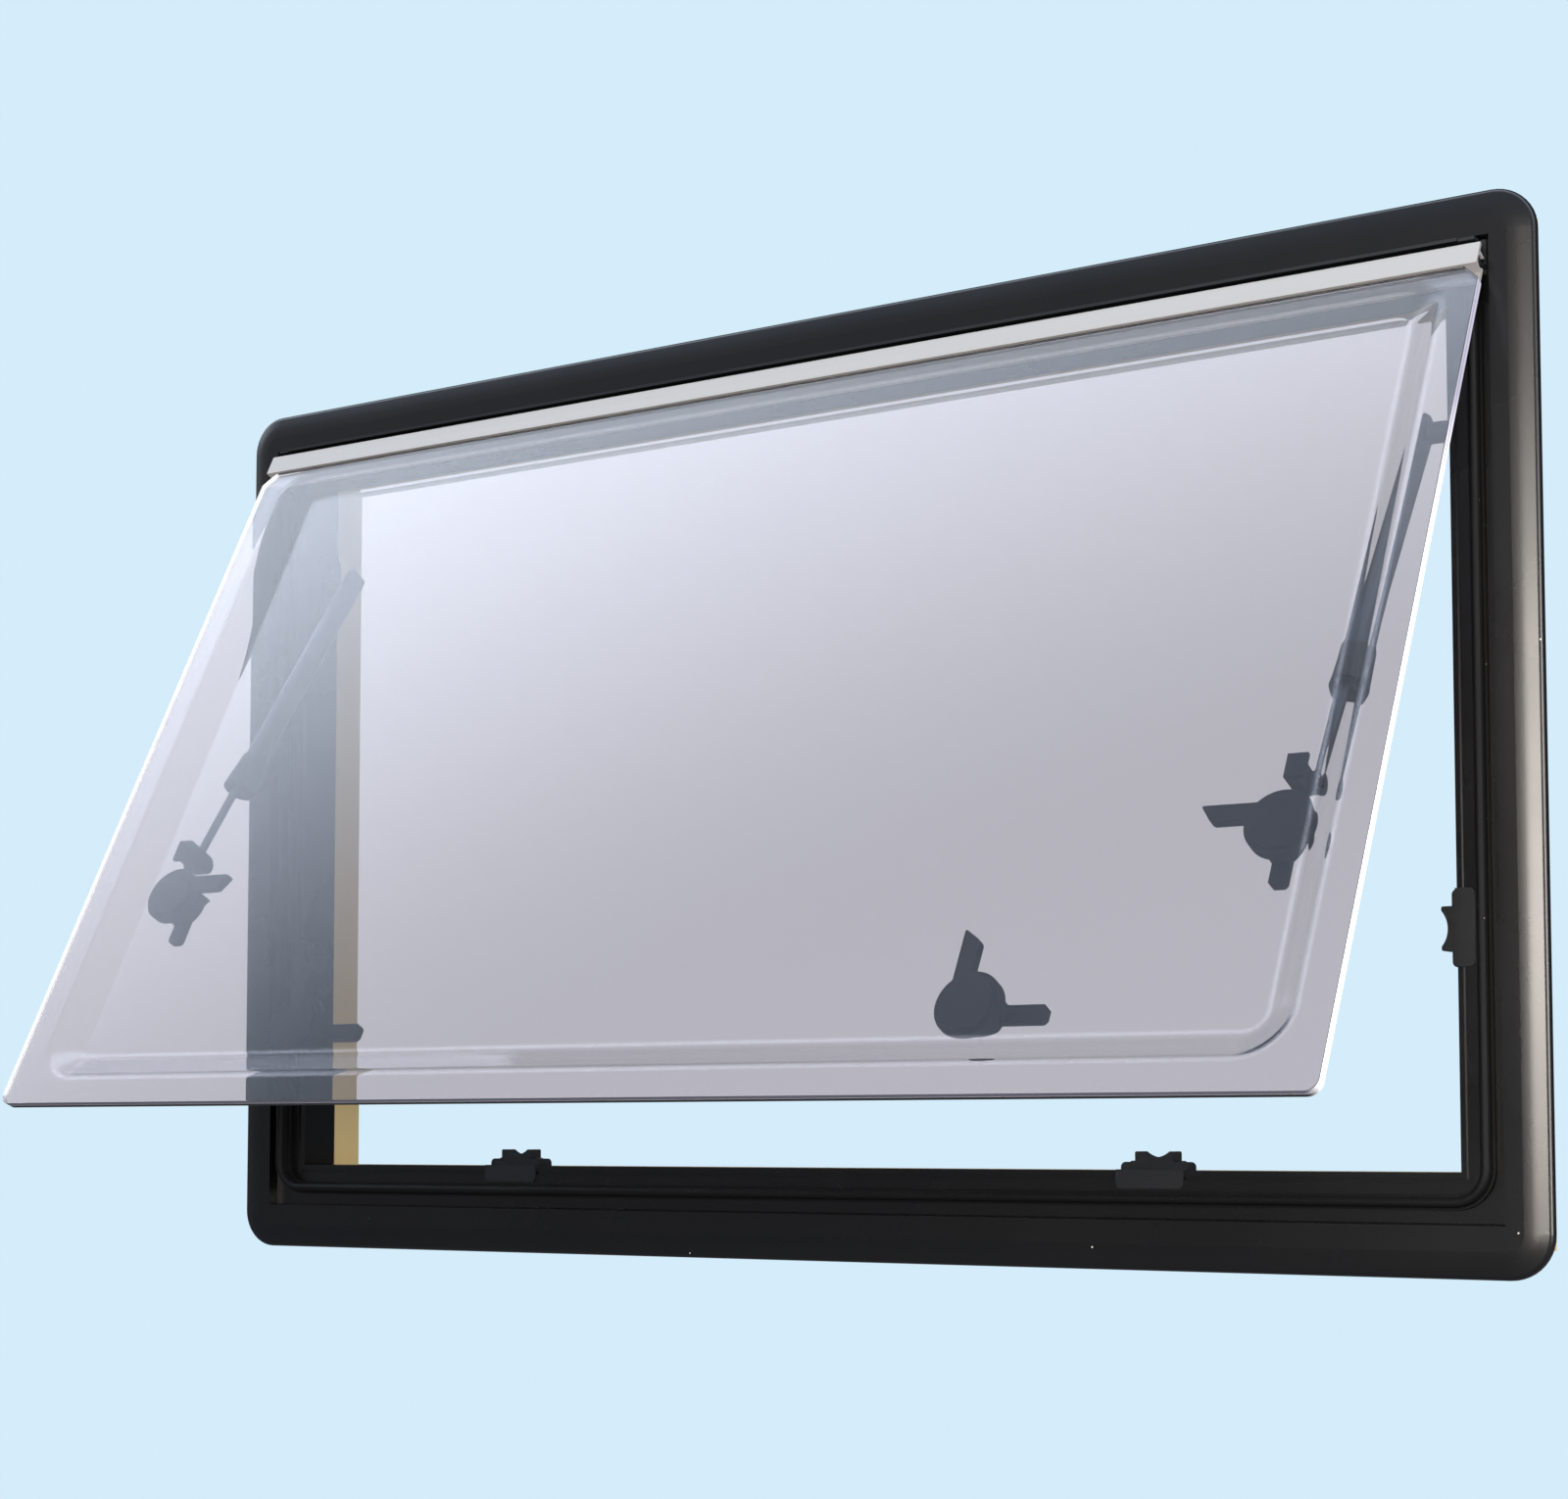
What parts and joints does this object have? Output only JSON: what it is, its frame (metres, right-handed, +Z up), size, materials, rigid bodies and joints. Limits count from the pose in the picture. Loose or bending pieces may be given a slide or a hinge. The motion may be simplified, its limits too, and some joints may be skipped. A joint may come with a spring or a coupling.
{
  "type": "caravan window",
  "caption": "Top-hung caravan window with a tinted double acrylic pane propped open on telescopic stays, turn latches, rubber seal, domed black frame and beige inner frame.",
  "frame": {"origin": "on the flange's wall face, in the middle of its lower strip", "axes": "+X along the wall, to the right seen from outside; +Y through the wall, into the room; +Z up"},
  "size_m": [0.932, 0.3053, 0.582],
  "materials": {
    "frame_plastic": "satin black, moulded",
    "seal_rubber": "black rubber",
    "inner_plastic": "beige, fine grain",
    "rail_metal": "pale satin",
    "acrylic": "grey tinted clear acrylic",
    "fitting_plastic": "black moulded plastic",
    "stay_metal": "grey satin metal"
  },
  "bodies": {
    "frame": {"outer_frame": "frame_plastic", "pane_seal": "seal_rubber", "inner_frame": "inner_plastic", "hinge_rail": "rail_metal", "hinge_end_left": "fitting_plastic", "hinge_end_right": "fitting_plastic", "catch_left": "fitting_plastic", "catch_right": "fitting_plastic", "catch_bottom_left": "fitting_plastic", "catch_bottom_right": "fitting_plastic", "stay_bracket_left": "fitting_plastic", "stay_bracket_right": "fitting_plastic"},
    "sash": {"outer_pane": "acrylic", "inner_pane": "acrylic", "sash_rail": "rail_metal", "latch_base_left": "fitting_plastic", "latch_base_right": "fitting_plastic", "latch_base_bottom_left": "fitting_plastic", "latch_base_bottom_right": "fitting_plastic", "stay_foot_left": "fitting_plastic", "stay_foot_right": "fitting_plastic"},
    "latch_right": {"latch_lever_right": "fitting_plastic"},
    "latch_left": {"latch_lever_left": "fitting_plastic"},
    "latch_bottom_right": {"latch_lever_bottom_right": "fitting_plastic"},
    "latch_bottom_left": {"latch_lever_bottom_left": "fitting_plastic"},
    "stay_tube_left": {"stay_tube_left": "stay_metal", "stay_knob_left": "fitting_plastic"},
    "stay_rod_left": {"stay_rod_left": "stay_metal"},
    "stay_tube_right": {"stay_tube_right": "stay_metal", "stay_knob_right": "fitting_plastic"},
    "stay_rod_right": {"stay_rod_right": "stay_metal"}
  },
  "joints": [
    {"name": "sash_hinge", "type": "hinge", "parent": "frame", "child": "sash", "pos_m": [0, -0.014, 0.532], "axis": [-1, 0, 0], "range_deg": [-27.4, 12.6]},
    {"name": "latch_right_turn", "type": "hinge", "parent": "sash", "child": "latch_right", "pos_m": [0.384, -0.15797, 0.22254], "axis": [0, 0.8878, -0.4602], "range_deg": [-90, 0]},
    {"name": "latch_left_turn", "type": "hinge", "parent": "sash", "child": "latch_left", "pos_m": [-0.384, -0.15797, 0.22254], "axis": [0, -0.8878, 0.4602], "range_deg": [-90, 0]},
    {"name": "latch_bottom_right_turn", "type": "hinge", "parent": "sash", "child": "latch_bottom_right", "pos_m": [0.232, -0.20353, 0.13464], "axis": [0, -0.8878, 0.4602], "range_deg": [-90, 0]},
    {"name": "latch_bottom_left_turn", "type": "hinge", "parent": "sash", "child": "latch_bottom_left", "pos_m": [-0.232, -0.20353, 0.13464], "axis": [0, -0.8878, 0.4602], "range_deg": [-90, 0]},
    {"name": "stay_tube_left_swing", "type": "hinge", "parent": "frame", "child": "stay_tube_left", "pos_m": [-0.393, 0.02, 0.45], "axis": [-1, 0, 0], "range_deg": [-33.9, 15.6]},
    {"name": "stay_rod_left_swing", "type": "hinge", "parent": "sash", "child": "stay_rod_left", "pos_m": [-0.393, -0.12726, 0.24266], "axis": [-1, 0, 0], "range_deg": [-6.5, 3]},
    {"name": "stay_tube_right_swing", "type": "hinge", "parent": "frame", "child": "stay_tube_right", "pos_m": [0.393, 0.02, 0.45], "axis": [-1, 0, 0], "range_deg": [-33.9, 15.6]},
    {"name": "stay_rod_right_swing", "type": "hinge", "parent": "sash", "child": "stay_rod_right", "pos_m": [0.393, -0.12726, 0.24266], "axis": [-1, 0, 0], "range_deg": [-6.5, 3]}
  ],
  "couplings": [
    {"joint": "stay_tube_left_swing", "follows": "sash_hinge", "ratio": 1.235},
    {"joint": "stay_rod_left_swing", "follows": "sash_hinge", "ratio": 0.235},
    {"joint": "stay_tube_right_swing", "follows": "sash_hinge", "ratio": 1.235},
    {"joint": "stay_rod_right_swing", "follows": "sash_hinge", "ratio": 0.235}
  ]
}
